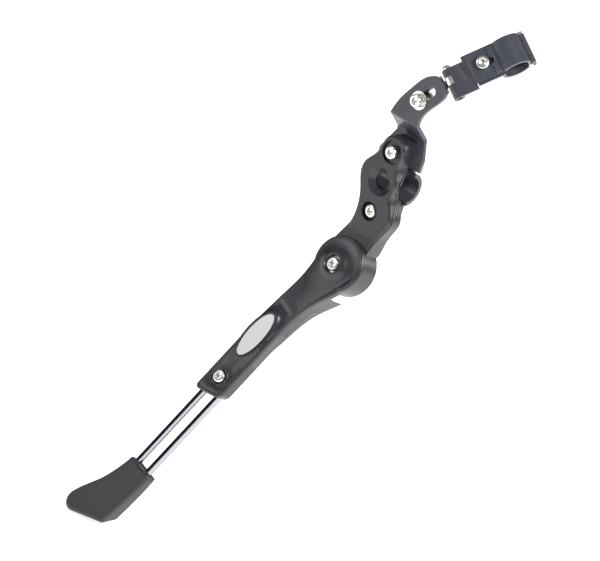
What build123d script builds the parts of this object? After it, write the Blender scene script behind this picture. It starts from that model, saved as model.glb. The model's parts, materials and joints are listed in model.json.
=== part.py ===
"""Adjustable rear-mount bicycle kickstand, millimetres, +Z up.

The origin is on the axis of the chainstay tube that the main clamp holds.
+X points to the rear of the bicycle, +Y points in to the wheel, and the
outer face of the stand looks towards -Y.  The stand is modelled deployed.
"""
from build123d import *
import os
from math import cos, radians, sin

os.makedirs("parts", exist_ok=True)

# Running and assembly gaps
RUNNING_FIT = 0.05
CLAMP_PLAY = 0.1
FACE_GAP = 0.1
BODY_GAP = 0.3

# Socket head screws, M6 everywhere but the M5 rod lock
M6_R = 3.0
M5_R = 2.5
HEAD_R = 5.0
HEAD_H = 5.0
SOCKET_R = 2.9
SOCKET_DEPTH = 2.8
M6_NUT_R = 5.77
M6_NUT_H = 5.0
WASHER_R = 6.2
WASHER_T = 1.2

# Main bracket, clamped on the chainstay
CHAINSTAY_R = 10.0
FRONT_Y = -15.0
BODY_DEPTH = 13.3
SHEET_T = 3.0
UPPER_BOLT = (2.0, 24.6)
LOWER_BOLT = (-0.8, -24.5)
UPPER_BORE_R = 9.0
UPPER_BORE_DEPTH = 2.4
LOWER_BORE_R = 7.2
LOWER_BORE_DEPTH = 6.0
RECESS_RIM_R = 11.0
RECESS_HOLE_R = 6.5
RECESS_DEPTH = 3.6
BACK_PLATE_REAR = 16.8
BACK_PLATE_FRONT = -19.5
FLANGE_FRONT = -12.0
BACK_PLATE_TOP = 35.0
BACK_PLATE_BOTTOM = -34.0

# Leg pivot: the pivot axis leans out of the horizontal, so the leg splays
SPLAY = 18.0
FORWARD_SWING = 16.0
PIVOT = (-4.0, -23.5, -70.0)
BOSS_R = 21.4
BOSS_CENTRE = (-0.3, 1.6)
BOSS_T = 16.0
SWING_CLEAR_R = 25.6
BUSHING_R = 5.0
BUSHING_SEAT = 4.0
DETENT_R = 14.0
BALL_R = 2.5
BALL_PROUD = 0.9

# Leg, measured down from the pivot
LEG_FRONT = 6.0
LEG_HEAD_R = 21.2
LEG_HEAD_CENTRE = (1.2, 2.0)
LEG_LEFT = -18.2
LEG_RIGHT = 5.2
LEG_BACK = -4.9
LEG_END_LEFT = 142.0
LEG_END_RIGHT = 133.5
CONE_BASE_R = 13.4
CONE_TOP_R = 7.9
CONE_H = 4.0
HEAD_POCKET_R = 6.8
POCKET_FLOOR = 4.0
BADGE_SHIFT = -8.4
BADGE_AT = 80.0
BADGE_LONG = 39.5
BADGE_SHORT = 14.2
LOCK_SHIFT = -7.4
LOCK_AT = 121.7
LOCK_SEAT = 2.6

# Twin telescopic rods and the rubber foot
ROD_R = 3.0
ROD_SHIFT = -6.6
ROD_PITCH = 12.9
ROD_Z = -1.9
ROD_TOP = 92.0
ROD_TRAVEL = 30.0
ROD_END = 246.0
FOOT_TOP = 213.5
SOLE_POINT = (-15.0, -269.5)
SOLE_NORMAL = (0.142, 0.165, -0.976)

# Upper arm, slotted link and hinge
ARM_BACK_STEP = 13.3
SLOT_W = 7.0
SLOT_START = (10.5, 70.8)
SLOT_ANGLE = 54.0
SLOT_TRAVEL = 13.0
LINK_T = 2.5
HINGE = (28.6, -11.0, 95.6)
KNUCKLE_R = 4.2
PIN_R = 2.4
BARREL_LOW = -2.4
BARREL_HIGH = 3.6

# Seat-stay clamp
STAY_TILT = 35.0
CLAMP_SWING = 40.0
STAY_R = 9.0
STAY_AT = 46.0
STAY_DEPTH = -1.0
JAW_T = 2.2
JAW_HALF = 11.4
LEAF_LOW = -8.4
LEAF_HIGH = 15.2
REAR_JAW_HIGH = 13.0
JAW_FACE = 6.5
JAW_GAP = 1.5
JAW_BOLT_AT = 25.0
HOOK_AT = (58.5, -5.5)
HOOK_EYE_R = 3.0
HOOK_PIN_R = 1.5
HOOK_HALF = 6.2

FRONT = Plane(origin=(0, FRONT_Y, 0), x_dir=(1, 0, 0), z_dir=(0, -1, 0))
_splay, _swing = radians(SPLAY), radians(FORWARD_SWING)
LEG = Plane(
    origin=PIVOT,
    x_dir=(cos(_swing), -sin(_swing) * sin(_splay), -sin(_swing) * cos(_splay)),
    z_dir=(0, -cos(_splay), sin(_splay)),
)
_tilt, _fold = radians(STAY_TILT), radians(CLAMP_SWING)
STAY_AXIS = Vector(cos(_tilt), 0, -sin(_tilt))
STAY_REACH = Vector(sin(_tilt) * cos(_fold), sin(_fold), cos(_tilt) * cos(_fold))
STAY = Plane(origin=HINGE, x_dir=STAY_AXIS, z_dir=STAY_AXIS.cross(STAY_REACH))
STAY_SIDE = Plane(origin=HINGE, x_dir=STAY_REACH, z_dir=STAY_AXIS)


def save(shape, name):
    """Write one named sub-part."""
    export_step(shape, f"parts/{name}.step")


def disc(plane, x, y, low, high, radius):
    """A cylinder on a plane, between two heights along its normal."""
    return plane * Pos(x, y, (low + high) / 2) * Cylinder(radius, high - low)


def slab(plane, sketch, low, high):
    """A flat sketch raised between two heights along a plane's normal."""
    return extrude(plane * Pos(0, 0, low) * sketch, high - low)


def outline(points):
    """A face inside one smooth closed curve."""
    return make_face(Spline(*points, periodic=True))


def across(plane, points, half_width):
    """A prism whose section lies in the plane's (y, z), as wide as twice half_width."""
    side = Plane(origin=plane.origin, x_dir=plane.y_dir, z_dir=plane.x_dir)
    return extrude(side * make_face(Polyline(*points, close=True)), half_width, both=True)


def screw(plane, x, y, seat, length, shank_r=M6_R):
    """A socket head screw: head above the seat height, shank below it."""
    head = disc(plane, x, y, seat, seat + HEAD_H, HEAD_R)
    rim = head.edges().filter_by(GeomType.CIRCLE).sort_by(Axis(plane.origin, plane.z_dir))
    head = fillet(rim[-1], 0.7)
    socket = RegularPolygon(SOCKET_R, 6)
    head -= slab(plane, Pos(x, y) * socket, seat + HEAD_H - SOCKET_DEPTH, seat + HEAD_H + 1)
    return head + disc(plane, x, y, seat - length, seat, shank_r)


def nut(plane, x, y, low, height, radius, bore_r):
    """A hexagon nut between two heights."""
    body = slab(plane, Pos(x, y) * RegularPolygon(radius, 6), low, low + height)
    return body - disc(plane, x, y, low - 1, low + height + 1, bore_r)


def ring(plane, x, y, low, high, outer_r, inner_r):
    """A washer or bushing between two heights."""
    return disc(plane, x, y, low, high, outer_r) - disc(plane, x, y, low - 1, high + 1, inner_r)


# ---------------------------------------------------------------- main bracket

def bracket_body():
    """Die-cast bracket: clamp half, bolt lug on top, tilted pivot boss below."""
    shape = outline([
        (2.0, 36.9), (8.6, 35.2), (11.9, 30.0), (10.9, 21.5), (11.4, 12.0), (14.8, 2.5),
        (13.8, -6.5), (17.2, -17.0), (19.8, -26.0), (17.0, -35.0), (14.0, -43.0),
        (11.4, -56.0), (6.0, -66.0), (-9.0, -69.0), (-20.0, -60.0), (-17.8, -49.0),
        (-13.7, -36.0), (-13.3, -23.0), (-16.2, -11.6), (-19.9, -2.0), (-19.4, 7.2),
        (-13.8, 15.0), (-10.4, 22.0), (-8.2, 30.4), (-4.0, 35.6),
    ])
    prism = slab(FRONT, shape, -20, 20)
    kink_z = PIVOT[2] + (FRONT_Y - PIVOT[1]) * cos(_splay) / sin(_splay)
    back_y = FRONT_Y + BODY_DEPTH
    heel_y = PIVOT[1] + BOSS_T * cos(_splay)
    heel_z = PIVOT[2] - BOSS_T * sin(_splay)
    lean = sin(_splay) / cos(_splay)
    low_z = -90.0
    profile = Polyline(
        (FRONT_Y, 45), (FRONT_Y, kink_z), (PIVOT[1] + lean * (low_z - PIVOT[2]), low_z),
        (heel_y + lean * (low_z - heel_z), low_z),
        (back_y, heel_z + (back_y - heel_y) / lean), (back_y, 45), close=True,
    )
    body = prism & extrude(Plane.YZ * make_face(profile), 60, both=True)
    body = body.solids()[0]
    rim = body.edges().filter_by(lambda e: abs(e.center().Y - FRONT_Y) < 0.01 and e.length > 40)
    body = chamfer(rim, 1.3)
    body += disc(LEG, *BOSS_CENTRE, -BOSS_T, 0, BOSS_R)
    body -= Rot(0, 90, 0) * Cylinder(CHAINSTAY_R + CLAMP_PLAY, 80)
    recess = Pos(0, 0, -RECESS_DEPTH / 2) * Cone(RECESS_HOLE_R, RECESS_RIM_R, RECESS_DEPTH)
    body -= FRONT * recess
    body -= disc(FRONT, 0, 0, -12, 1, RECESS_HOLE_R)
    for (x, z), bore_r, depth in (
        (UPPER_BOLT, UPPER_BORE_R, UPPER_BORE_DEPTH), (LOWER_BOLT, LOWER_BORE_R, LOWER_BORE_DEPTH),
    ):
        body -= disc(FRONT, x, z, -depth, 2, bore_r)
        body -= disc(FRONT, x, z, -30, 1, M6_R + CLAMP_PLAY)
    body -= disc(LEG, 0, 0, -BOSS_T - 8, 1, M6_R + CLAMP_PLAY)
    body -= disc(LEG, 0, 0, -BUSHING_SEAT, 1, BUSHING_R)
    for side in (-1, 1):
        body -= disc(LEG, side * DETENT_R, 0, -10, 1, BALL_R + RUNNING_FIT)
    return body


def back_plate():
    """Pressed steel clamp half: two bolt flanges and a half round for the tube."""
    inner = CHAINSTAY_R + CLAMP_PLAY
    outer = inner + SHEET_T
    flange_y = FRONT_Y + BODY_DEPTH + SHEET_T + 2 * FACE_GAP
    width = BACK_PLATE_REAR - BACK_PLATE_FRONT
    middle = (BACK_PLATE_REAR + BACK_PLATE_FRONT) / 2
    arch = Pos(middle, 0, 0) * Rot(0, 90, 0) * Cylinder(outer, width)
    arch &= Pos(0, flange_y + 25, 0) * Box(60, 50, 60)
    height = BACK_PLATE_TOP - BACK_PLATE_BOTTOM
    flange_width = BACK_PLATE_REAR - 3 - FLANGE_FRONT
    flange_middle = (BACK_PLATE_REAR - 3 + FLANGE_FRONT) / 2
    flange = Pos(flange_middle, flange_y + SHEET_T / 2, BACK_PLATE_BOTTOM + height / 2)
    plate = arch + flange * Box(flange_width, SHEET_T, height)
    plate -= Rot(0, 90, 0) * Cylinder(inner, 80)
    corners = plate.edges().filter_by(Axis.Y)
    plate = fillet(corners, 7)
    for x, z in (UPPER_BOLT, LOWER_BOLT):
        plate -= disc(FRONT, x, z, -40, 0, M6_R + CLAMP_PLAY)
    return plate


def clamp_screws():
    """The two screws that squeeze the bracket and the back plate on the tube."""
    upper = screw(FRONT, *UPPER_BOLT, -UPPER_BORE_DEPTH, 31.0 - UPPER_BORE_DEPTH)
    lower = screw(FRONT, *LOWER_BOLT, -LOWER_BORE_DEPTH, 31.0 - LOWER_BORE_DEPTH)
    return upper, lower


def clamp_hardware():
    """Washers and nuts behind the back plate."""
    seat = -(BODY_DEPTH + 2 * SHEET_T + 2 * FACE_GAP)
    places = (UPPER_BOLT, LOWER_BOLT)
    washers = [ring(FRONT, x, z, seat - WASHER_T, seat, WASHER_R, M6_R + RUNNING_FIT) for x, z in places]
    low = seat - WASHER_T - M6_NUT_H
    nuts = [nut(FRONT, x, z, low, M6_NUT_H, M6_NUT_R, M6_R + RUNNING_FIT) for x, z in places]
    return washers, nuts


# ------------------------------------------------------------------- leg pivot

def pivot_hardware():
    """Bolt, thrust washer, flanged bushing and nut on the tilted pivot axis."""
    bolt = screw(LEG, 0, 0, POCKET_FLOOR + 1.0, 27.5)
    washer = ring(LEG, 0, 0, POCKET_FLOOR + RUNNING_FIT, POCKET_FLOOR + 1.0, 6.6, M6_R)
    bushing = ring(LEG, 0, 0, -BUSHING_SEAT, POCKET_FLOOR + RUNNING_FIT, BUSHING_R, M6_R)
    lock_nut = nut(LEG, 0, 0, -BOSS_T - M6_NUT_H, M6_NUT_H, M6_NUT_R, M6_R)
    return bolt, washer, bushing, lock_nut


def detent():
    """Two balls and their coil springs, drawn as sleeves, pressing on the leg head."""
    centre = BALL_PROUD - BALL_R
    balls = [LEG * Pos(side * DETENT_R, 0, centre) * Sphere(BALL_R) for side in (-1, 1)]
    springs = [ring(LEG, side * DETENT_R, 0, -10, -3.6, 2.3, 1.6) for side in (-1, 1)]
    return balls, springs


# ------------------------------------------------------------------------- leg

def leg_outline():
    """Front view of the leg: round head, slim neck, straight blade, slanted end."""
    left = Spline(
        (-18.0, -5.0), (-15.6, -16.0), (-15.0, -27.0), (-16.0, -43.0), (-17.5, -64.0), (LEG_LEFT, -88.0),
        tangents=[(0.4, -1), (0, -1)],
    )
    right = Spline(
        (LEG_RIGHT, -100.0), (4.9, -72.0), (5.8, -50.0), (7.8, -39.0), (11.0, -29.0), (15.4, -18.5),
        (19.5, -5.0),
        tangents=[(0, 1), (0.2, 1)],
    )
    rest = Polyline(
        (LEG_LEFT, -88.0), (LEG_LEFT, -LEG_END_LEFT), (LEG_RIGHT, -LEG_END_RIGHT), (LEG_RIGHT, -100.0),
    )
    blade = make_face(left + rest + right + Line((19.5, -5.0), (-18.0, -5.0)))
    ends = blade.vertices().filter_by(lambda v: v.Y < 1 - LEG_END_RIGHT).sort_by(Axis.X)
    blade = fillet(ends[0], 3)
    corner = blade.vertices().filter_by(lambda v: v.Y < 1 - LEG_END_RIGHT).sort_by(Axis.X)[-1]
    blade = fillet(corner, 8)
    return Pos(*LEG_HEAD_CENTRE) * Circle(LEG_HEAD_R) + blade


def leg_body():
    """Die-cast leg: round head and a channel section that is open at the back."""
    body = slab(LEG, leg_outline(), -20, LEG_FRONT)
    below = LEG_BACK - 20
    back = Spline(
        (-14.0, -15.5), (-26.0, -16.0), (-40.0, -12.8), (-60.0, -9.4), (-76.0, -6.6), (-92.0, LEG_BACK),
        tangents=[(-1, 0), (-1, 0)],
    )
    away = Polyline((-92.0, LEG_BACK), (-150.0, LEG_BACK), (-150.0, below), (40.0, below), (40.0, BODY_GAP))
    away += Polyline((40.0, BODY_GAP), (-14.0, BODY_GAP), (-14.0, -15.5))
    side = Plane(origin=LEG.origin, x_dir=LEG.y_dir, z_dir=LEG.x_dir)
    body -= extrude(side * make_face(back + away), 40, both=True)
    front_edges = body.faces().sort_by(Axis(LEG.origin, LEG.z_dir))[-1].outer_wire().edges()
    body = fillet(front_edges, 1.8)
    cone = Pos(0, 0, LEG_FRONT + CONE_H / 2) * Cone(CONE_BASE_R, CONE_TOP_R, CONE_H)
    body += LEG * cone
    rim = Pos(0.9, 0) * Ellipse(BADGE_SHORT / 2 + 3.2, BADGE_LONG / 2 + 3.6)
    rim -= Ellipse(BADGE_SHORT / 2 + 0.2, BADGE_LONG / 2 + 0.2)
    body += slab(LEG, Pos(BADGE_SHIFT, -BADGE_AT) * rim, LEG_FRONT - 2, LEG_FRONT + 0.9)
    body -= disc(LEG, 0, 0, -40, BODY_GAP, SWING_CLEAR_R)
    roof = ROD_Z + ROD_R + FACE_GAP
    half_width = ROD_PITCH / 2 + ROD_R + FACE_GAP
    channel_top = ROD_TOP - ROD_TRAVEL - 2
    channel_low = LEG_END_LEFT + 5
    channel = Rectangle(2 * half_width, channel_low - channel_top)
    body -= slab(LEG, Pos(ROD_SHIFT, -(channel_top + channel_low) / 2) * channel, -40, roof)
    pocket_top = BOSS_R + 4
    pocket = Pos(-5.5, -(pocket_top + channel_top) / 2) * Rectangle(14, channel_top - pocket_top + 1)
    body -= slab(LEG, pocket, -40, roof)
    body -= disc(LEG, 0, 0, 0, 20, BUSHING_R + RUNNING_FIT)
    body -= disc(LEG, 0, 0, POCKET_FLOOR, 20, HEAD_POCKET_R)
    body -= ring(LEG, 0, 0, 0, BALL_PROUD + RUNNING_FIT, DETENT_R + 2.6, DETENT_R - 2.6)
    body -= disc(LEG, LOCK_SHIFT, -LOCK_AT, -20, 20, M5_R + CLAMP_PLAY)
    body -= disc(LEG, LOCK_SHIFT, -LOCK_AT, LOCK_SEAT, 20, HEAD_R + 0.7)
    return body


def badge():
    """Plain oval trim plate, slightly domed by its rounded edge."""
    face = Pos(BADGE_SHIFT, -BADGE_AT) * Ellipse(BADGE_SHORT / 2, BADGE_LONG / 2)
    plate = slab(LEG, face, LEG_FRONT, LEG_FRONT + 0.8)
    return plate


def rod_lock():
    """Screw, pressure plate and nut that pinch the rods against the leg."""
    bolt = screw(LEG, LOCK_SHIFT, -LOCK_AT, LOCK_SEAT, 15.0, M5_R)
    low = ROD_Z - ROD_R - FACE_GAP
    thick = 2.6
    plate = slab(LEG, Pos(ROD_SHIFT, -119.8) * RectangleRounded(20.0, 24.0, 2.5), low - thick, low)
    plate -= disc(LEG, LOCK_SHIFT, -LOCK_AT, -20, 0, M5_R)
    lock_nut = nut(LEG, LOCK_SHIFT, -LOCK_AT, low - thick - 4, 4, 4.62, M5_R)
    return bolt, plate, lock_nut


def rods():
    """Two chromed rods and the plate that ties their upper ends."""
    along = Plane(origin=LEG.origin, x_dir=LEG.x_dir, z_dir=LEG.y_dir)
    pair = []
    for side in (-1, 1):
        x = ROD_SHIFT + side * ROD_PITCH / 2
        rod = along * Pos(x, -ROD_Z, -(ROD_TOP + ROD_END) / 2) * Cylinder(ROD_R, ROD_END - ROD_TOP)
        pair.append(chamfer(rod.edges().filter_by(GeomType.CIRCLE), 0.5))
    tie = Pos(ROD_SHIFT, -ROD_TOP + 1.25) * Rectangle(ROD_PITCH + 2 * ROD_R - 0.2, 2.5)
    return pair, slab(LEG, tie, ROD_Z - ROD_R + 0.2, ROD_Z + ROD_R - 0.2)


def foot():
    """Moulded rubber foot: a socket for the rods that flares forward to a flat sole."""
    left = Spline(
        (-17.4, -FOOT_TOP), (-19.8, -229.0), (-23.9, -243.0), (-29.8, -256.0), (-34.0, -268.0),
        (-35.4, -284.0),
    )
    right = Spline((3.2, -284.0), (3.9, -262.0), (5.2, -244.0), (5.8, -FOOT_TOP))
    ends = Line((-35.4, -284.0), (3.2, -284.0)) + Line((5.8, -FOOT_TOP), (-17.4, -FOOT_TOP))
    body = slab(LEG, make_face(left + right + ends), -12, 12)
    ground = Plane(origin=LEG.from_local_coords(Vector(*SOLE_POINT, 0)), z_dir=SOLE_NORMAL)
    body -= slab(ground, Rectangle(200, 200), 0, 60)
    body = body.solids()[0]
    corners = body.edges().filter_by(lambda e: 20 < e.length < 30).sort_by(Axis.Z)[:2]
    body = fillet(corners.sort_by(Axis(LEG.origin, LEG.x_dir))[0], 8)
    mouth = 1 - FOOT_TOP
    body &= across(LEG, [
        (mouth, -7.0), (mouth, 4.4), (-250.0, 6.6), (-290.0, 8.2), (-290.0, -8.2), (-250.0, -7.8),
    ], 60)
    body = body.solids()[0]
    rim = body.edges().sort_by(Axis(LEG.origin, LEG.y_dir))[:-4]
    body = fillet(rim, 2.6)
    along = Plane(origin=LEG.origin, x_dir=LEG.x_dir, z_dir=LEG.y_dir)
    for side in (-1, 1):
        x = ROD_SHIFT + side * ROD_PITCH / 2
        bore = Cylinder(ROD_R, ROD_END - FOOT_TOP + 10)
        body -= along * Pos(x, -ROD_Z, -(ROD_END + FOOT_TOP - 10) / 2) * bore
    return body


# ------------------------------------------------------------ upper arm, link

def slot_vector(distance):
    """Place along the slot, from its lower end."""
    angle = radians(SLOT_ANGLE)
    return (SLOT_START[0] + distance * cos(angle), SLOT_START[1] + distance * sin(angle))


def upper_arm():
    """Pressed steel arm: bolt flange behind the lug, a joggle, and a slotted plate."""
    edge = Spline(
        (-11.2, 50.5), (-6.4, 65.0), (1.4, 78.3), (9.0, 88.6), (15.5, 92.6), (22.5, 92.4),
        (28.6, 89.0), (30.2, 84.6), (27.4, 77.0), (19.6, 66.0), (15.6, 54.0),
    )
    lower = Polyline(
        (15.6, 54.0), (16.4, 40.3), (20.8, 25.0), (20.8, 16.0), (-19.8, 16.0), (-19.8, 18.5),
        (-10.3, 37.0), (-11.2, 50.5),
    )
    shape = make_face(edge + lower)
    back = FRONT_Y + ARM_BACK_STEP + FACE_GAP
    profile = Polyline(
        (FRONT_Y, 97), (FRONT_Y, 51.2), (back, 39.5), (back, 10), (back + SHEET_T, 10),
        (back + SHEET_T, 40.8), (FRONT_Y + SHEET_T, 52.5), (FRONT_Y + SHEET_T, 97), close=True,
    )
    section = make_face(profile)
    bends = section.vertices().filter_by(lambda v: 30 < v.Z < 60 or 30 < v.Y < 60)
    section = fillet(bends, 2.0)
    arm = extrude(Plane.YZ * section, 60, both=True)
    arm &= slab(FRONT, shape, -30, 10)
    arm -= disc(FRONT, *UPPER_BOLT, -30, 0, M6_R + RUNNING_FIT)
    middle = slot_vector(SLOT_TRAVEL / 2)
    slot = Pos(*middle) * Rot(0, 0, SLOT_ANGLE) * SlotOverall(SLOT_TRAVEL + SLOT_W, SLOT_W)
    arm -= slab(FRONT, slot, -10, 5)
    return arm


def slot_hardware():
    """Screw, two washers and nut that pinch the link to the slotted plate."""
    x, z = SLOT_START
    seat = WASHER_T + FACE_GAP
    bolt = screw(FRONT, x, z, seat, 18.0)
    washer = ring(FRONT, x, z, FACE_GAP, seat, 7.0, M6_R)
    low = -(SHEET_T + LINK_T + 3 * FACE_GAP)
    slot_nut = nut(FRONT, x, z, low - M6_NUT_H, M6_NUT_H, M6_NUT_R, M6_R)
    return bolt, washer, slot_nut


def link_plate():
    """Zinc plated link: an eye on the slot screw and a rolled barrel on the hinge."""
    x, z = SLOT_START
    front = -(SHEET_T + FACE_GAP)
    eye = Pos(x, z) * Circle(8.2)
    reach = Vector(sin(_tilt), cos(_tilt))
    side = Vector(cos(_tilt), -sin(_tilt))
    hinge = Vector(HINGE[0], HINGE[2])
    start = Vector(x, z)
    waist = hinge - reach * 7.5
    blade = make_face(Polyline(
        start - side * 8.2, start + side * 8.2, waist + side * 7.0, waist + side * BARREL_HIGH,
        hinge + side * BARREL_HIGH, hinge + side * BARREL_LOW, waist + side * BARREL_LOW,
        waist - side * 7.6, close=True,
    ))
    plate = slab(FRONT, eye + blade, front - LINK_T, front)
    plate -= disc(FRONT, x, z, -20, 0, M6_R + RUNNING_FIT)
    plate += barrel(BARREL_LOW, BARREL_HIGH, KNUCKLE_R)
    return plate - barrel(-30, 30, PIN_R + RUNNING_FIT)


def barrel(low, high, radius):
    """A cylinder on the hinge axis."""
    return STAY_SIDE * Pos(0, 0, (low + high) / 2) * Cylinder(radius, high - low)


def hinge_pin():
    """Hinge pin with a domed head at its upper end, flush in the lower knuckle."""
    dome = STAY_SIDE * Pos(0, 0, LEAF_LOW) * Sphere(3.6)
    dome &= STAY_SIDE * Pos(0, 0, LEAF_LOW - 5) * Box(20, 20, 10)
    return barrel(LEAF_LOW, LEAF_HIGH - 3.5, PIN_R) + dome


# ------------------------------------------------------------- seat-stay clamp

def strip(left, right, low, high):
    """A rectangle between four edges in the clamp's side view."""
    return Pos((left + right) / 2, (low + high) / 2) * Rectangle(right - left, high - low)


def jaw_ring():
    """The ring of sheet round the seat-stay tube, in the clamp's side view."""
    inner = STAY_R + CLAMP_PLAY
    centre = Pos(STAY_AT, STAY_DEPTH)
    return centre * Circle(inner + JAW_T) - centre * Circle(inner), centre * Circle(inner)


def pressed(sketch, low, high):
    """Sheet pressed to a side view, between two places along the stay."""
    return extrude(STAY_SIDE * Pos(0, 0, low) * sketch, high - low)


def hook(low, high, radius):
    """A cylinder on the axis where the rear jaw hooks on."""
    return STAY_SIDE * Pos(*HOOK_AT, (low + high) / 2) * Cylinder(radius, high - low)


def front_jaw():
    """Front jaw: hinge leaf with two knuckles, flat plate, half round and pin lugs."""
    loop, tube = jaw_ring()
    below_face = JAW_FACE - JAW_T
    flat = strip(12, STAY_AT - 7, below_face, JAW_FACE) - tube
    arch = loop & (strip(STAY_AT - 20, STAY_AT, below_face, 20) + strip(STAY_AT, 80, -4, 20))
    leaf = strip(0, 15.5, KNUCKLE_R - JAW_T, below_face + 0.1)
    jaw = pressed(flat + arch, -JAW_HALF, JAW_HALF) + pressed(leaf, LEAF_LOW, LEAF_HIGH)
    jaw += barrel(LEAF_LOW, BARREL_LOW - 0.2, KNUCKLE_R) + barrel(BARREL_HIGH + 0.2, LEAF_HIGH, KNUCKLE_R)
    jaw -= barrel(BARREL_LOW - 0.2, BARREL_HIGH + 0.2, KNUCKLE_R + BODY_GAP)
    jaw -= barrel(-30, 30, PIN_R)
    jaw += hook(-JAW_HALF, -HOOK_HALF - BODY_GAP, HOOK_EYE_R)
    jaw += hook(HOOK_HALF + BODY_GAP, JAW_HALF, HOOK_EYE_R)
    jaw -= hook(-HOOK_HALF - BODY_GAP, HOOK_HALF + BODY_GAP, HOOK_EYE_R + BODY_GAP)
    jaw -= hook(-30, 30, HOOK_PIN_R)
    jaw -= slab(STAY, Pos(0, JAW_BOLT_AT + 3) * Rot(0, 0, 90) * SlotOverall(11.2, 5.2), 0, 20)
    return jaw


def rear_jaw():
    """Rear jaw: flat plate, half round behind the tube, and an eye on the hook pin."""
    loop, tube = jaw_ring()
    top = JAW_FACE - JAW_T - JAW_GAP
    flat = strip(16.2, STAY_AT - 5, top - JAW_T, top) - tube
    arch = loop & (strip(STAY_AT - 20, STAY_AT, -20, top) + strip(STAY_AT, 80, -20, -4.3))
    jaw = pressed(flat + arch, -JAW_HALF, REAR_JAW_HIGH)
    jaw -= hook(-30, -HOOK_HALF, HOOK_EYE_R + BODY_GAP) + hook(HOOK_HALF, 30, HOOK_EYE_R + BODY_GAP)
    jaw += hook(-HOOK_HALF, HOOK_HALF, HOOK_EYE_R)
    jaw -= hook(-30, 30, HOOK_PIN_R + RUNNING_FIT)
    jaw -= slab(STAY, Pos(0, JAW_BOLT_AT) * Rot(0, 0, 90) * SlotOverall(8.0, 6.2), -20, 20)
    return jaw


def jaw_hardware():
    """Screw and nut that close the jaws, and the wire pin that they hook on."""
    bolt = screw(STAY, 0, JAW_BOLT_AT, JAW_FACE, 19.5, M5_R)
    low = JAW_FACE - JAW_T - JAW_GAP - JAW_T - FACE_GAP - 4
    jaw_nut = nut(STAY, 0, JAW_BOLT_AT, low, 4, 4.62, M5_R + RUNNING_FIT)
    pin = hook(-JAW_HALF - 1.0, JAW_HALF + 1.0, HOOK_PIN_R) + hook(-JAW_HALF - 2.2, -JAW_HALF - 0.2, 2.2)
    turned = Pos(HOOK_AT[0] + 1.0, HOOK_AT[1] - 0.5, JAW_HALF + 1.6) * Rot(90, 0, 0)
    tail = STAY_SIDE * turned * Cylinder(HOOK_PIN_R, 6)
    return bolt, jaw_nut, pin + tail


# ----------------------------------------------------------------- every piece

def main():
    upper_screw, lower_screw = clamp_screws()
    washers, nuts = clamp_hardware()
    pivot_bolt, pivot_washer, pivot_bushing, pivot_nut = pivot_hardware()
    balls, springs = detent()
    lock_bolt, pressure_plate, lock_nut = rod_lock()
    pair, tie = rods()
    slot_bolt, slot_washer, slot_nut = slot_hardware()
    jaw_bolt, jaw_nut, hook_pin = jaw_hardware()
    pieces = {
        "bracket_body": bracket_body(),
        "upper_clamp_bolt": upper_screw,
        "lower_clamp_bolt": lower_screw,
        "chainstay_back_plate": back_plate(),
        "clamp_washers": Compound(children=washers),
        "clamp_nuts": Compound(children=nuts),
        "pivot_bolt": pivot_bolt,
        "pivot_washer": pivot_washer,
        "pivot_bushing": pivot_bushing,
        "pivot_nut": pivot_nut,
        "detent_balls": Compound(children=balls),
        "detent_springs": Compound(children=springs),
        "leg_body": leg_body(),
        "leg_badge": badge(),
        "rod_lock_bolt": lock_bolt,
        "rod_pressure_plate": pressure_plate,
        "rod_lock_nut": lock_nut,
        "front_rod": pair[0],
        "rear_rod": pair[1],
        "rod_tie_plate": tie,
        "rubber_foot": foot(),
        "upper_arm": upper_arm(),
        "slot_bolt": slot_bolt,
        "slot_washer": slot_washer,
        "slot_nut": slot_nut,
        "link_plate": link_plate(),
        "hinge_pin": hinge_pin(),
        "front_jaw": front_jaw(),
        "rear_jaw": rear_jaw(),
        "jaw_bolt": jaw_bolt,
        "jaw_nut": jaw_nut,
        "hook_pin": hook_pin,
    }
    for name, shape in pieces.items():
        save(shape, name)


main()
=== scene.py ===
"""Looks of an adjustable rear-mount bicycle kickstand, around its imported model."""
import bmesh
import bpy
import json
from math import cos, pi, radians, sin, tau
from mathutils import Matrix, Vector
from mathutils.bvhtree import BVHTree


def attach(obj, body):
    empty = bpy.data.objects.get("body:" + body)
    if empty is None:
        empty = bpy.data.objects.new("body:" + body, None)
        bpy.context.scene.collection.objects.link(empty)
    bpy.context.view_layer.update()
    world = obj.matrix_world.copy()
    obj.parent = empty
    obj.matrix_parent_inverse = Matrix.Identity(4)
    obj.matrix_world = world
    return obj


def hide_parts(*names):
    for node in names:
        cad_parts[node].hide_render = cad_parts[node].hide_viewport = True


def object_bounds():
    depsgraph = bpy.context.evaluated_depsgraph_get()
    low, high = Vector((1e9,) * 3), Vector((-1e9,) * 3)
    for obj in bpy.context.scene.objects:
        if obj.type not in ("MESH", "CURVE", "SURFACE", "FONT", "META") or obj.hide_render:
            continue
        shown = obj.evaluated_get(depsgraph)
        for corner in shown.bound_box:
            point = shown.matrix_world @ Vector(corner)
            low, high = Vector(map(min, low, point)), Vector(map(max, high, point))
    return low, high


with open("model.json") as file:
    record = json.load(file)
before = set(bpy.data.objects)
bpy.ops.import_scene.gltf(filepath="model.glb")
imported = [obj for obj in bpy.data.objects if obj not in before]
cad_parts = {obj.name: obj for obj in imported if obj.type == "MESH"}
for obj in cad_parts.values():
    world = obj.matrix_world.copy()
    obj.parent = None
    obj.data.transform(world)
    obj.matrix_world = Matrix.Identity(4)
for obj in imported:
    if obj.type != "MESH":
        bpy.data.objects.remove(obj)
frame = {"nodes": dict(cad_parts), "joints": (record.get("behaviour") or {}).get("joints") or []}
cad_box = [list(corner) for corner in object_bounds()]
nodes = frame["nodes"]
joints = {joint["name"]: joint for joint in frame["joints"]}

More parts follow.
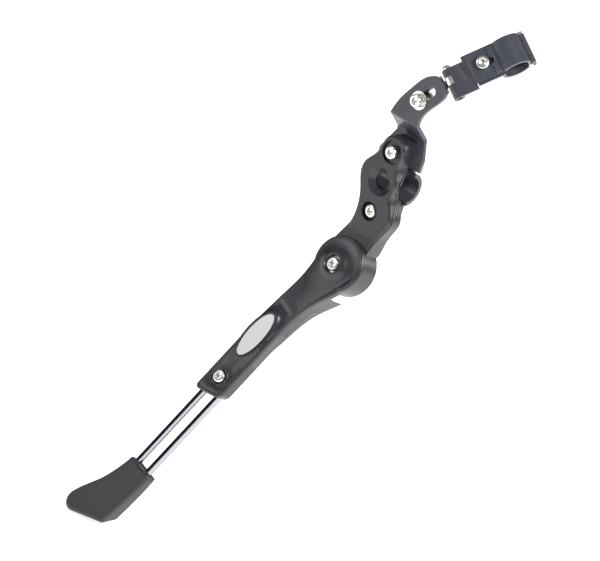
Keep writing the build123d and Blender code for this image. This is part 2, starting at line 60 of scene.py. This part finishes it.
# ---------------------------------------------------------------- camera
# The stand is seen from its outer side, from the rear and a little above,
# by a long lens, and the camera is rolled so that the leg runs down to the left.
LENS = 500
VIEW_WIDTH = 0.4348
CAMERA_BACK = Vector((0.550, -0.760, 0.346)).normalized()
CAMERA_UP = Vector((-0.452, 0.078, 0.890))
aim = Vector((-0.0082, -0.0579, -0.0810))
camera_right = CAMERA_UP.cross(CAMERA_BACK).normalized()
camera_up = CAMERA_BACK.cross(camera_right)
camera_data = bpy.data.cameras.new("camera")
camera_data.lens = LENS
distance = VIEW_WIDTH * LENS / camera_data.sensor_width
turn = Matrix((camera_right, camera_up, CAMERA_BACK)).transposed().to_4x4()
camera = bpy.data.objects.new("camera", camera_data)
camera.matrix_world = Matrix.Translation(aim + CAMERA_BACK * distance) @ turn
camera_data.clip_end = 50
bpy.context.scene.collection.objects.link(camera)
bpy.context.scene.camera = camera
bpy.context.scene.view_settings.view_transform = "Standard"

# ---------------------------------------------------------------- studio
# A white floor just under the foot, pale surroundings with a darker band low
# down that draws edges on bright metal, and large soft lamps.
FLOOR_GAP = 0.0005
FLOOR_SIZE = 14.0


def new_material(name, base, metallic=0.0, roughness=0.5):
    """A material with its constant sockets set, its node tree, its shader and its object coordinates."""
    material = bpy.data.materials.new(name)
    material.use_nodes = True
    tree = material.node_tree
    shader = tree.nodes["Principled BSDF"]
    shader.inputs["Base Color"].default_value = (*base, 1)
    shader.inputs["Metallic"].default_value = metallic
    shader.inputs["Roughness"].default_value = roughness
    place = tree.nodes.new("ShaderNodeTexCoord")
    return material, tree, shader, place.outputs["Object"]


def mesh_object(name, build, material=None):
    """A new object whose mesh is filled by a function that is given an empty bmesh."""
    shape = bmesh.new()
    build(shape)
    mesh = bpy.data.meshes.new(name)
    shape.to_mesh(mesh)
    shape.free()
    made = bpy.data.objects.new(name, mesh)
    bpy.context.scene.collection.objects.link(made)
    if material is not None:
        mesh.materials.append(material)
    return made


floor_white, tree, shader, spot = new_material("studio_floor", (0.90, 0.90, 0.90), roughness=0.9)
shader.inputs["Emission Color"].default_value = (1, 1, 1, 1)
shader.inputs["Emission Strength"].default_value = 0.72
floor_noise = tree.nodes.new("ShaderNodeTexNoise")
floor_noise.inputs["Scale"].default_value = 3
floor_tint = tree.nodes.new("ShaderNodeMapRange")
floor_tint.inputs["To Min"].default_value = 0.88
floor_tint.inputs["To Max"].default_value = 0.92
tree.links.new(spot, floor_noise.inputs["Vector"])
tree.links.new(floor_noise.outputs["Fac"], floor_tint.inputs["Value"])
tree.links.new(floor_tint.outputs["Result"], shader.inputs["Roughness"])
lowest = cad_box[0][2] - FLOOR_GAP


def floor_sheet(shape):
    bmesh.ops.create_grid(
        shape, x_segments=2, y_segments=2, size=FLOOR_SIZE, matrix=Matrix.Translation((0, 0, lowest)),
    )


floor = mesh_object("studio_floor", floor_sheet, floor_white)

world = bpy.data.worlds.new("studio")
bpy.context.scene.world = world
world.use_nodes = True
sky = world.node_tree
sky_place = sky.nodes.new("ShaderNodeTexCoord")
sky_split = sky.nodes.new("ShaderNodeSeparateXYZ")
sky_ramp = sky.nodes.new("ShaderNodeValToRGB")
sky_ramp.color_ramp.elements[0].position = 0.0
sky_ramp.color_ramp.elements[0].color = (0.8, 0.8, 0.8, 1)
sky_ramp.color_ramp.elements[1].position = 1.0
sky_ramp.color_ramp.elements[1].color = (1, 1, 1, 1)
for position, grey in ((0.44, 0.6), (0.49, 0.03), (0.57, 0.04), (0.64, 0.9)):
    band = sky_ramp.color_ramp.elements.new(position)
    band.color = (grey, grey, grey * 1.03, 1)
sky_height = sky.nodes.new("ShaderNodeMapRange")
sky_height.inputs["From Min"].default_value = -1
sky.links.new(sky_place.outputs["Generated"], sky_split.inputs["Vector"])
sky.links.new(sky_split.outputs["Z"], sky_height.inputs["Value"])
sky.links.new(sky_height.outputs["Result"], sky_ramp.inputs["Fac"])
sky.links.new(sky_ramp.outputs["Color"], sky.nodes["Background"].inputs["Color"])
sky.nodes["Background"].inputs["Strength"].default_value = 0.34


def soft_lamp(name, place, size, power):
    """A square soft box that faces the middle of the stand."""
    data = bpy.data.lights.new(name, "AREA")
    data.size = size
    data.energy = power
    lamp = bpy.data.objects.new(name, data)
    lamp.location = aim + Vector(place)
    lamp.rotation_euler = (-Vector(place)).to_track_quat("-Z", "Y").to_euler()
    bpy.context.scene.collection.objects.link(lamp)


soft_lamp("key_lamp", (1.35, -0.35, 1.25), 0.55, 44)
soft_lamp("fill_lamp", (-1.0, -1.7, 0.9), 0.8, 9)
soft_lamp("back_lamp", (0.9, 1.6, 0.7), 0.8, 14)

# ---------------------------------------------------------------- axes
# The stand's own directions, from its joints: along the leg, across it, out of
# its face, and the same for the seat-stay clamp.
pivot = Vector(joints["leg_swing"]["pos_m"])
leg_out = Vector(joints["leg_swing"]["axis"])
leg_down = Vector(joints["rod_slide"]["axis"])
leg_across = leg_out.cross(leg_down)
stay_hinge = Vector(joints["clamp_hinge"]["pos_m"])
stay_axis = Vector(joints["clamp_hinge"]["axis"])
stay_out = -Vector(joints["jaw_nut_slide"]["axis"])
face_out = Vector((0, -1, 0))


def axes_at(origin, across, out):
    """A place whose local X and Z point across and out."""
    return Matrix.Translation(origin) @ Matrix((across, out.cross(across), out)).transposed().to_4x4()


leg_place = axes_at(pivot, leg_across, leg_out)
stay_place = axes_at(stay_hinge, stay_axis, stay_out)
front_place = axes_at(Vector((0, 0, 0)), Vector((1, 0, 0)), face_out)


def mm(*lengths):
    """Millimetres to a vector in metres."""
    return Vector(lengths) / 1000


# ---------------------------------------------------------------- castings
# The bracket and the leg are die-cast aluminium under satin black powder coat:
# fine orange peel, a slightly cloudy tone and an uneven gloss.


def coat(name, base, roughness, grain, depth):
    """A painted or moulded surface: cloudy tone, uneven gloss and a fine grain bump."""
    material, tree, shader, spot = new_material(name, base, roughness=roughness)
    cloud = tree.nodes.new("ShaderNodeTexNoise")
    cloud.inputs["Scale"].default_value = 45
    cloud.inputs["Detail"].default_value = 4
    tone = tree.nodes.new("ShaderNodeMix")
    tone.data_type = "RGBA"
    tone.inputs["A"].default_value = (*(0.82 * c for c in base), 1)
    tone.inputs["B"].default_value = (*(1.22 * c for c in base), 1)
    gloss = tree.nodes.new("ShaderNodeMapRange")
    gloss.inputs["To Min"].default_value = roughness - 0.06
    gloss.inputs["To Max"].default_value = roughness + 0.07
    peel = tree.nodes.new("ShaderNodeTexNoise")
    peel.inputs["Scale"].default_value = grain
    peel.inputs["Detail"].default_value = 3
    bump = tree.nodes.new("ShaderNodeBump")
    bump.inputs["Strength"].default_value = 0.35
    bump.inputs["Distance"].default_value = depth
    for noise in (cloud, peel):
        tree.links.new(spot, noise.inputs["Vector"])
    tree.links.new(cloud.outputs["Fac"], tone.inputs["Factor"])
    tree.links.new(cloud.outputs["Fac"], gloss.inputs["Value"])
    tree.links.new(tone.outputs["Result"], shader.inputs["Base Color"])
    tree.links.new(gloss.outputs["Result"], shader.inputs["Roughness"])
    tree.links.new(peel.outputs["Fac"], bump.inputs["Height"])
    tree.links.new(bump.outputs["Normal"], shader.inputs["Normal"])
    return material


def finish_node(name, material):
    """Gives a carried-over part its material."""
    slots = nodes[name].data.materials
    slots.clear()
    slots.append(material)


cast_black = coat("cast_black", (0.017, 0.0165, 0.021), 0.32, 2600, 0.00006)
for name in ("bracket_body", "leg_body"):
    finish_node(name, cast_black)

# ---------------------------------------------------------------- pressed sheet
# The arm, the back plate and the two jaws are pressed steel with a smoother,
# slightly bluer black paint.
sheet_black = coat("sheet_black", (0.036, 0.039, 0.048), 0.30, 1700, 0.00004)
for name in ("upper_arm", "chainstay_back_plate", "front_jaw", "rear_jaw"):
    finish_node(name, sheet_black)

# ---------------------------------------------------------------- rubber foot
# One moulding of dull black rubber, pushed over the ends of the rods.
foot_rubber = coat("foot_rubber", (0.020, 0.020, 0.022), 0.46, 3600, 0.00008)

# ---------------------------------------------------------------- bright metal
# Screws, nuts, washers and the link are zinc plated steel, the rods mirror
# chrome, the balls and springs bare spring steel, the bushing sintered bronze.


def metal(name, base, roughness, spread, scale):
    """Bare metal whose gloss varies in fine marks stretched along one axis."""
    material, tree, shader, spot = new_material(name, base, metallic=1.0, roughness=roughness)
    stretch = tree.nodes.new("ShaderNodeMapping")
    stretch.inputs["Scale"].default_value = scale
    marks = tree.nodes.new("ShaderNodeTexNoise")
    marks.inputs["Scale"].default_value = 1
    marks.inputs["Detail"].default_value = 5
    gloss = tree.nodes.new("ShaderNodeMapRange")
    gloss.inputs["To Min"].default_value = max(roughness - spread, 0.02)
    gloss.inputs["To Max"].default_value = roughness + spread
    bump = tree.nodes.new("ShaderNodeBump")
    bump.inputs["Strength"].default_value = 0.15
    bump.inputs["Distance"].default_value = 0.00003
    tree.links.new(spot, stretch.inputs["Vector"])
    tree.links.new(stretch.outputs["Vector"], marks.inputs["Vector"])
    tree.links.new(marks.outputs["Fac"], gloss.inputs["Value"])
    tree.links.new(gloss.outputs["Result"], shader.inputs["Roughness"])
    tree.links.new(marks.outputs["Fac"], bump.inputs["Height"])
    tree.links.new(bump.outputs["Normal"], shader.inputs["Normal"])
    return material


zinc = metal("zinc_steel", (0.80, 0.81, 0.76), 0.24, 0.07, (900, 900, 900))
chrome = metal("chrome_rod", (0.36, 0.37, 0.40), 0.10, 0.02, (500, 500, 60))
spring_steel = metal("spring_steel", (0.55, 0.56, 0.58), 0.22, 0.05, (800, 800, 800))
bronze = metal("bushing_bronze", (0.62, 0.42, 0.20), 0.42, 0.08, (1500, 1500, 1500))
for name in (
    "upper_clamp_bolt", "lower_clamp_bolt", "clamp_washers", "clamp_nuts", "pivot_bolt", "pivot_washer",
    "pivot_nut", "rod_lock_bolt", "rod_pressure_plate", "rod_lock_nut", "slot_bolt", "slot_washer",
    "slot_nut", "link_plate", "hinge_pin", "jaw_bolt", "jaw_nut", "hook_pin", "rod_tie_plate",
):
    finish_node(name, zinc)
for name in ("front_rod", "rear_rod"):
    finish_node(name, chrome)
for name in ("detent_balls", "detent_springs"):
    finish_node(name, spring_steel)
finish_node("pivot_bushing", bronze)
badge_silver = metal("badge_silver", (0.70, 0.70, 0.72), 0.36, 0.05, (1400, 1400, 90))
finish_node("leg_badge", badge_silver)

# ---------------------------------------------------------------- screws
# Socket head screws, M6 and M5, cold forged and zinc plated. The head's rim is
# knurled and its socket takes a 5 mm key; the shank has a rolled thread.
SEGMENTS = 48
M6_R = 0.003
M5_R = 0.0025
HEAD_R = 0.0050
HEAD_H = 0.0050
RIB_COUNT = 42
RIB_DEPTH = 0.00022
SOCKET_HALF = 0.0025
SOCKET_FLOOR = 0.0022
PITCH = 0.001


def hexagon(half, k):
    """Distance from the middle of a hexagon to its edge in direction k."""
    angle = tau * k / SEGMENTS
    return half / cos((angle + pi / 6) % (pi / 3) - pi / 6)


def ring(radius, height):
    """Points of one ring; the radius is a number or a function of the direction."""
    reach = radius if callable(radius) else lambda k: radius
    return [
        Vector((reach(k) * cos(tau * k / SEGMENTS), reach(k) * sin(tau * k / SEGMENTS), height))
        for k in range(SEGMENTS)
    ]


def skin(shape, place, rings, closed=False):
    """Joins rings into a wall; an open wall gets both its ends capped."""
    rows = [[shape.verts.new(place @ point) for point in points] for points in rings]
    pairs = list(zip(rows, rows[1:]))
    if closed:
        pairs.append((rows[-1], rows[0]))
    for low, high in pairs:
        for k in range(len(low)):
            after = (k + 1) % len(low)
            shape.faces.new((low[k], low[after], high[after], high[k]))
    if not closed:
        shape.faces.new(rows[0][::-1])
        shape.faces.new(rows[-1])


def measured(node, place, near=None, within=0.012):
    """Middle, lowest and highest height of a node along a place's Z, and optionally only near a point."""
    inverse = place.inverted()
    points = [inverse @ vertex.co for vertex in nodes[node].data.vertices]
    if near is not None:
        points = [p for p in points if (p.xy - near).length < within]
    low = Vector(min(p[i] for p in points) for i in range(3))
    high = Vector(max(p[i] for p in points) for i in range(3))
    return (low.xy + high.xy) / 2, low.z, high.z


def smooth(made, degrees=30):
    """Smooth shading that keeps edges sharper than an angle."""
    made.data.shade_smooth()
    made.data.set_sharp_from_angle(angle=radians(degrees))


knurl = bpy.data.node_groups.new("knurled_rim", "GeometryNodeTree")
knurl.interface.new_socket("Geometry", in_out="OUTPUT", socket_type="NodeSocketGeometry")
knurl_sockets = {
    name: knurl.interface.new_socket(name, in_out="INPUT", socket_type=kind)
    for name, kind in (
        ("Ribs", "NodeSocketInt"), ("Radius", "NodeSocketFloat"), ("Depth", "NodeSocketFloat"),
        ("Height", "NodeSocketFloat"), ("Material", "NodeSocketMaterial"),
    )
}
knurl_in = knurl.nodes.new("NodeGroupInput")
knurl_out = knurl.nodes.new("NodeGroupOutput")
rim = knurl.nodes.new("GeometryNodeCurvePrimitiveCircle")
rib = knurl.nodes.new("GeometryNodeMeshCylinder")
rib.inputs["Vertices"].default_value = 3
stand_ribs = knurl.nodes.new("GeometryNodeInstanceOnPoints")
turn_rib = knurl.nodes.new("FunctionNodeAlignEulerToVector")
turn_rib.axis = "X"
outward = knurl.nodes.new("GeometryNodeInputPosition")
real = knurl.nodes.new("GeometryNodeRealizeInstances")
paint = knurl.nodes.new("GeometryNodeSetMaterial")
for source, target in (
    (knurl_in.outputs["Ribs"], rim.inputs["Resolution"]), (knurl_in.outputs["Radius"], rim.inputs["Radius"]),
    (knurl_in.outputs["Depth"], rib.inputs["Radius"]), (knurl_in.outputs["Height"], rib.inputs["Depth"]),
    (rim.outputs["Curve"], stand_ribs.inputs["Points"]), (rib.outputs["Mesh"], stand_ribs.inputs["Instance"]),
    (outward.outputs["Position"], turn_rib.inputs["Vector"]),
    (turn_rib.outputs["Rotation"], stand_ribs.inputs["Rotation"]),
    (stand_ribs.outputs["Instances"], real.inputs["Geometry"]),
    (real.outputs["Geometry"], paint.inputs["Geometry"]),
    (knurl_in.outputs["Material"], paint.inputs["Material"]),
    (paint.outputs["Geometry"], knurl_out.inputs["Geometry"]),
):
    knurl.links.new(source, target)


def grown(tree, sockets, values):
    """The plain mesh that a geometry tree makes with some values."""
    holder = bpy.data.objects.new("holder", bpy.data.meshes.new("holder"))
    bpy.context.scene.collection.objects.link(holder)
    modifier = holder.modifiers.new("grow", "NODES")
    modifier.node_group = tree
    for name, value in values.items():
        modifier[sockets[name].identifier] = value
    holder.update_tag()
    mesh = bpy.data.meshes.new_from_object(holder.evaluated_get(bpy.context.evaluated_depsgraph_get()))
    bpy.data.objects.remove(holder)
    return mesh


knurl_mesh = grown(knurl, knurl_sockets, {
    "Ribs": RIB_COUNT, "Radius": HEAD_R - 1.6 * RIB_DEPTH, "Depth": RIB_DEPTH * 1.5, "Height": HEAD_H * 0.72,
    "Material": zinc,
})


def screw(name, body, plane, thread_r):
    """One screw that stands for a node of the same name."""
    centre, end, top = measured(name, plane)
    place = plane @ Matrix.Translation((*centre, top - HEAD_H))
    length = top - HEAD_H - end

    def build(shape):
        side = HEAD_R - 1.5 * RIB_DEPTH
        skin(shape, place, [
            ring(thread_r * 0.8, -length), ring(thread_r * 0.96, -length + 0.0004), ring(thread_r * 0.96, 0),
            ring(side - 0.0002, 0), ring(side, 0.0002), ring(side, HEAD_H - 0.0008),
            ring(side - 0.0003, HEAD_H - 0.0003), ring(side - 0.0008, HEAD_H - 0.00004),
            ring(side - 0.0012, HEAD_H),
            ring(lambda k: hexagon(SOCKET_HALF + 0.0003, k), HEAD_H),
            ring(lambda k: hexagon(SOCKET_HALF, k), HEAD_H - 0.0003),
            ring(lambda k: hexagon(SOCKET_HALF, k), SOCKET_FLOOR),
            ring(0.0019, SOCKET_FLOOR - 0.0003), ring(0.0004, SOCKET_FLOOR - 0.0008),
        ])
        turns = [-length + 0.0006 + PITCH * step / 4 for step in range(int((length - 0.001) / PITCH * 4))]
        skin(shape, place, [
            ring(lambda k: thread_r * (0.955 + 0.04 * cos(tau * (height / PITCH - k / SEGMENTS))), height)
            for height in turns
        ])
        start = len(shape.verts)
        shape.from_mesh(knurl_mesh)
        shape.verts.ensure_lookup_table()
        lift = place @ Matrix.Translation((0, 0, HEAD_H * 0.45))
        for vertex in shape.verts[start:]:
            vertex.co = lift @ vertex.co
        for face in shape.faces:
            face.material_index = 0

    made = mesh_object(name + "_screw", build, zinc)
    smooth(made, 28)
    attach(made, body)
    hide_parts(name)
    return centre


bolt_at = {
    name: screw(name, body, plane, thread_r)
    for name, body, plane, thread_r in (
        ("upper_clamp_bolt", "bracket", front_place, M6_R),
        ("lower_clamp_bolt", "bracket", front_place, M6_R),
        ("pivot_bolt", "bracket", leg_place, M6_R),
        ("rod_lock_bolt", "leg", leg_place, M5_R),
        ("slot_bolt", "slider", front_place, M6_R),
        ("jaw_bolt", "stay_clamp", stay_place, M5_R),
    )
}

# ---------------------------------------------------------------- nuts and washers
# Hexagon nuts with their corners turned off on both faces, and the flat
# washers under them, all zinc plated.


def nut_rings(half, bore, low, high):
    """Outer and inner rings of a chamfered nut."""
    edge = 0.0004
    small = lambda k: min(hexagon(half, k), half * 1.01)
    full = lambda k: hexagon(half, k)
    middle = lambda k: min(hexagon(half, k), half * 1.09)
    return [
        ring(small, low), ring(middle, low + edge * 0.5), ring(full, low + edge), ring(full, high - edge),
        ring(middle, high - edge * 0.5), ring(small, high), ring(bore + 0.0003, high),
        ring(bore, high - 0.0003),
        ring(bore, low + 0.0003), ring(bore + 0.0003, low),
    ]


def nut(name, node, body, plane, centres, half, bore):
    """Every nut of a node as one piece."""
    def build(shape):
        for centre in centres:
            _, low, high = measured(node, plane, near=centre)
            place = plane @ Matrix.Translation((*centre, 0))
            skin(shape, place, nut_rings(half, bore, low, high), closed=True)

    made = mesh_object(name, build, zinc)
    smooth(made, 28)
    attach(made, body)
    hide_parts(node)


M6_NUT_HALF = 0.00498
M5_NUT_HALF = 0.00399
clamp_centres = [bolt_at["upper_clamp_bolt"], bolt_at["lower_clamp_bolt"]]
nut("clamp_nut_pair", "clamp_nuts", "back_plate", front_place, clamp_centres, M6_NUT_HALF, M6_R)
nut("pivot_lock_nut", "pivot_nut", "bracket", leg_place, [bolt_at["pivot_bolt"]], M6_NUT_HALF, M6_R)
nut("slot_hex_nut", "slot_nut", "slider", front_place, [bolt_at["slot_bolt"]], M6_NUT_HALF, M6_R)
nut("rod_lock_hex_nut", "rod_lock_nut", "leg", leg_place, [bolt_at["rod_lock_bolt"]], M5_NUT_HALF, M5_R)
nut("jaw_hex_nut", "jaw_nut", "jaw_nut", stay_place, [bolt_at["jaw_bolt"]], M5_NUT_HALF, M5_R)

# ---------------------------------------------------------------- carved castings
# Grooves cut into copies of two larger parts: the crease along the die-cast leg
# and round its lock screw, and the press lines across the sheet of the clamp.
CREASE_R = 0.00055
LOCK_RING_R = 0.0074
LOCK_GROOVE_R = 0.0004
LEG_FACE = 0.0062


def tube(name, place, points, radius, material=None, sides=10):
    """A closed round cutter or bead through points; a bead, which has a material, tapers at its ends."""
    def build(shape):
        rows = []
        for index, point in enumerate(points):
            share = index / (len(points) - 1)
            thick = radius * (max(sin(pi * share), 0.02) ** 0.4 if material else 1)
            ahead = (points[min(index + 1, len(points) - 1)] - points[max(index - 1, 0)]).normalized()
            aside = ahead.cross(Vector((0, 0, 1))).normalized()
            above = aside.cross(ahead)
            rows.append([
                place @ (point + thick * (cos(tau * k / sides) * aside + sin(tau * k / sides) * above))
                for k in range(sides)
            ])
        skin(shape, Matrix.Identity(4), rows)
        bmesh.ops.recalc_face_normals(shape, faces=shape.faces)
    return mesh_object(name, build, material)


def bar(name, place, low, high):
    """A box cutter between two corners."""
    def build(shape):
        middle, size = (low + high) / 2, high - low
        stretch = Matrix.Translation(middle) @ Matrix.Diagonal((*size, 1))
        bmesh.ops.create_cube(shape, size=1, matrix=place @ stretch)
    return mesh_object(name, build)


def carved(name, node, body, material, cutters, degrees=32):
    """A copy of a node with shapes cut out of it, which stands for the node."""
    def build(shape):
        shape.from_mesh(nodes[node].data)
        bmesh.ops.remove_doubles(shape, verts=shape.verts, dist=1e-6)

    made = mesh_object(name, build)
    for cutter in cutters:
        cut = made.modifiers.new("cut", "BOOLEAN")
        cut.operation = "DIFFERENCE"
        cut.solver = "EXACT"
        cut.object = cutter
    result = bpy.data.meshes.new_from_object(made.evaluated_get(bpy.context.evaluated_depsgraph_get()))
    made.modifiers.clear()
    made.data = result
    for cutter in cutters:
        bpy.data.objects.remove(cutter)
    result.materials.clear()
    result.materials.append(material)
    smooth(made, degrees)
    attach(made, body)
    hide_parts(node)
    return made


crease = [
    mm(17.6, 2, 6.2), mm(15.2, -9, 6.2), mm(11.4, -20, 6.2), mm(8.0, -31, 6.2), mm(5.6, -42, 6.2),
    mm(4.2, -55, 6.2), mm(3.2, -72, 6.2), mm(3.2, -96, 6.2), mm(3.2, -118, 6.2), mm(2.0, -127, 6.2),
]
lock_at = bolt_at["rod_lock_bolt"]
lock_ring = [
    Vector((
        lock_at.x + LOCK_RING_R * cos(tau * k / 40), lock_at.y + LOCK_RING_R * sin(tau * k / 40), LEG_FACE,
    ))
    for k in range(26, 52)
]
carved("leg_casting", "leg_body", "leg", cast_black, [
    tube("crease_cutter", leg_place, crease, CREASE_R),
    tube("lock_ring_cutter", leg_place, lock_ring, LOCK_GROOVE_R),
])

stay_cuts = [
    bar(f"press_line_{index}", stay_place, mm(-17, along, depth), mm(17, along + width, 8))
    for index, (along, width, depth) in enumerate((
        (11.9, 0.45, 6.0), (13.4, 0.45, 6.0), (30.6, 0.4, 6.1), (35.6, 1.1, 5.7),
    ))
]
carved("front_jaw_pressing", "front_jaw", "stay_clamp", sheet_black, stay_cuts)

# ---------------------------------------------------------------- rubber moulding
# The rubber foot as one moulding with softly shaded edges, and the plane of its
# most downward facet, at the toe, which places the short line there.
toe_face = min(nodes["rubber_foot"].data.polygons, key=lambda face: face.normal.z)
toe_out = toe_face.normal.copy()
toe_across = (leg_across - leg_across.dot(toe_out) * toe_out).normalized()
toe_place = axes_at(toe_face.center.copy(), toe_across, toe_out)
toe_points = [toe_place.inverted() @ vertex.co for vertex in nodes["rubber_foot"].data.vertices]
toe_points = [point for point in toe_points if point.z > -0.001]
toe_low, toe_high = min(point.x for point in toe_points), max(point.x for point in toe_points)
carved("foot_moulding", "rubber_foot", "rods", foot_rubber, [], degrees=40)

# ---------------------------------------------------------------- casting ridges
# Soft flow lines that stand up from the bracket's rear flank and a low rim round
# the head of the leg, painted with their castings, and a short line at the toe.
RIDGE_R = 0.0011
RIM_R = 0.0007
LINE_R = 0.0006


def flowing(points, steps=8):
    """Points along a smooth curve through a few places."""
    ends = [2 * points[0] - points[1], *points, 2 * points[-1] - points[-2]]
    path = []
    for a, b, c, d in zip(ends, ends[1:], ends[2:], ends[3:]):
        for step in range(steps):
            t = step / steps
            path.append(0.5 * (
                2 * b + (c - a) * t + (2 * a - 5 * b + 4 * c - d) * t**2 + (3 * b - a - 3 * c + d) * t**3
            ))
    return path + [points[-1]]


def ridge(name, node, body, places, radius, material, sunk=0.3):
    """A bead that lies on a node's surface, through the nearest points to some places."""
    mesh = nodes[node].data
    corners = [vertex.co for vertex in mesh.vertices]
    surface = BVHTree.FromPolygons(corners, [tuple(face.vertices) for face in mesh.polygons])
    path = []
    for point in flowing(places):
        hit, normal, _, _ = surface.find_nearest(point)
        path.append(hit - normal * radius * sunk)
    made = tube(name, Matrix.Identity(4), path, radius, material)
    smooth(made, 60)
    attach(made, body)


for index, places in enumerate((
    (
        mm(11.2, -15, 27), mm(10.6, -15, 19), mm(12.4, -15, 9), mm(13.9, -15, 1), mm(13.2, -15, -8),
        mm(12.2, -15, -19), mm(8.2, -15, -30), mm(3.5, -15, -39),
    ),
    (
        mm(12.4, -9, 17), mm(14.6, -5.5, 8), mm(14.6, -4.5, -1), mm(15.4, -7, -12), mm(18.6, -11, -23),
        mm(17.2, -13, -34), mm(13.8, -14, -45),
    ),
    (mm(18.4, -15, -25), mm(15.6, -15, -32), mm(11.6, -15, -40), mm(8.0, -15, -49)),
)):
    ridge(f"flow_line_{index + 1}", "bracket_body", "bracket", places, RIDGE_R, cast_black)
head_rim = [
    pivot + leg_across * (0.0012 + 0.0188 * cos(tau * k / 24)) + leg_out * 0.006
    - leg_down * (0.002 + 0.0188 * sin(tau * k / 24))
    for k in range(-5, 14)
]
ridge("head_rim", "leg_body", "leg", head_rim, RIM_R, cast_black)
toe_line = [
    toe_place @ Vector((toe_low + (toe_high - toe_low) * share, 0, -0.004)) + leg_out * 0.02
    for share in (0.06, 0.25, 0.5, 0.75, 0.94)
]
ridge("sole_line", "rubber_foot", "rods", toe_line, LINE_R, foot_rubber)
